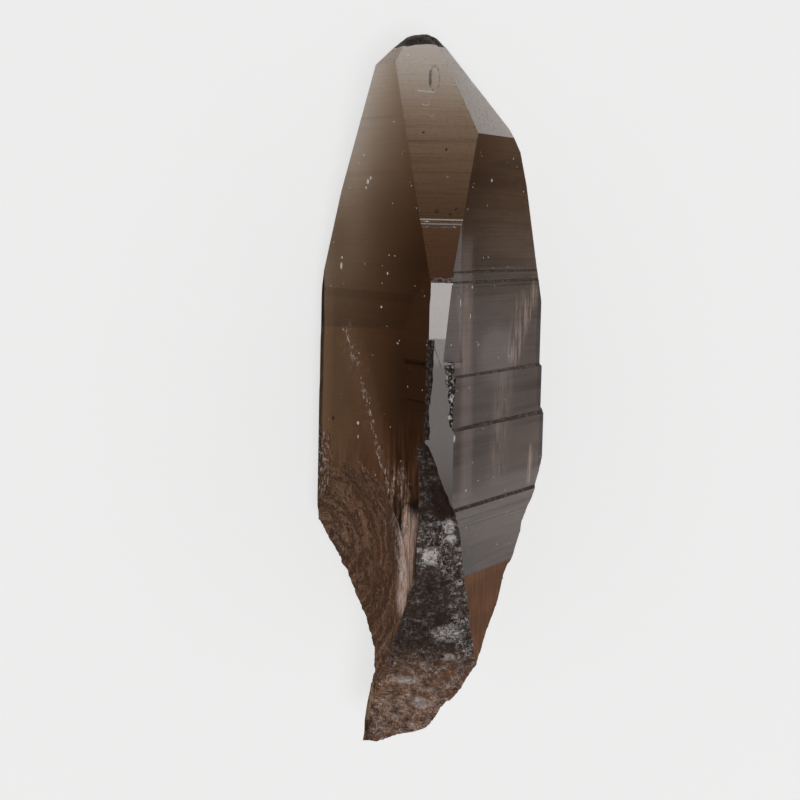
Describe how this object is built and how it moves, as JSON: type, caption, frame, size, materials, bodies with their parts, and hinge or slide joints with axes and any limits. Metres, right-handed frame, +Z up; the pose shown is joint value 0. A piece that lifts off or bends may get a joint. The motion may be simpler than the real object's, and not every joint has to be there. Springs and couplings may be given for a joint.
{
  "type": "smoky quartz crystal",
  "caption": "Loose smoky quartz point, long and three-sided with a steep chipped tip and a jagged broken end, lying on a broad flat face.",
  "frame": {"origin": "centre of the footprint of the crystal's box, on the surface that it lies on", "axes": "+Y along the crystal to its tip, +Z up from the broad face that it lies on, +X across it"},
  "size_m": [0.04, 0.1196, 0.0422],
  "materials": {
    "smoky_quartz": "clear brown-grey quartz with glossy, finely striated faces and a glittering jagged break"
  },
  "bodies": {
    "root": {"crystal": "smoky_quartz"}
  },
  "joints": []
}
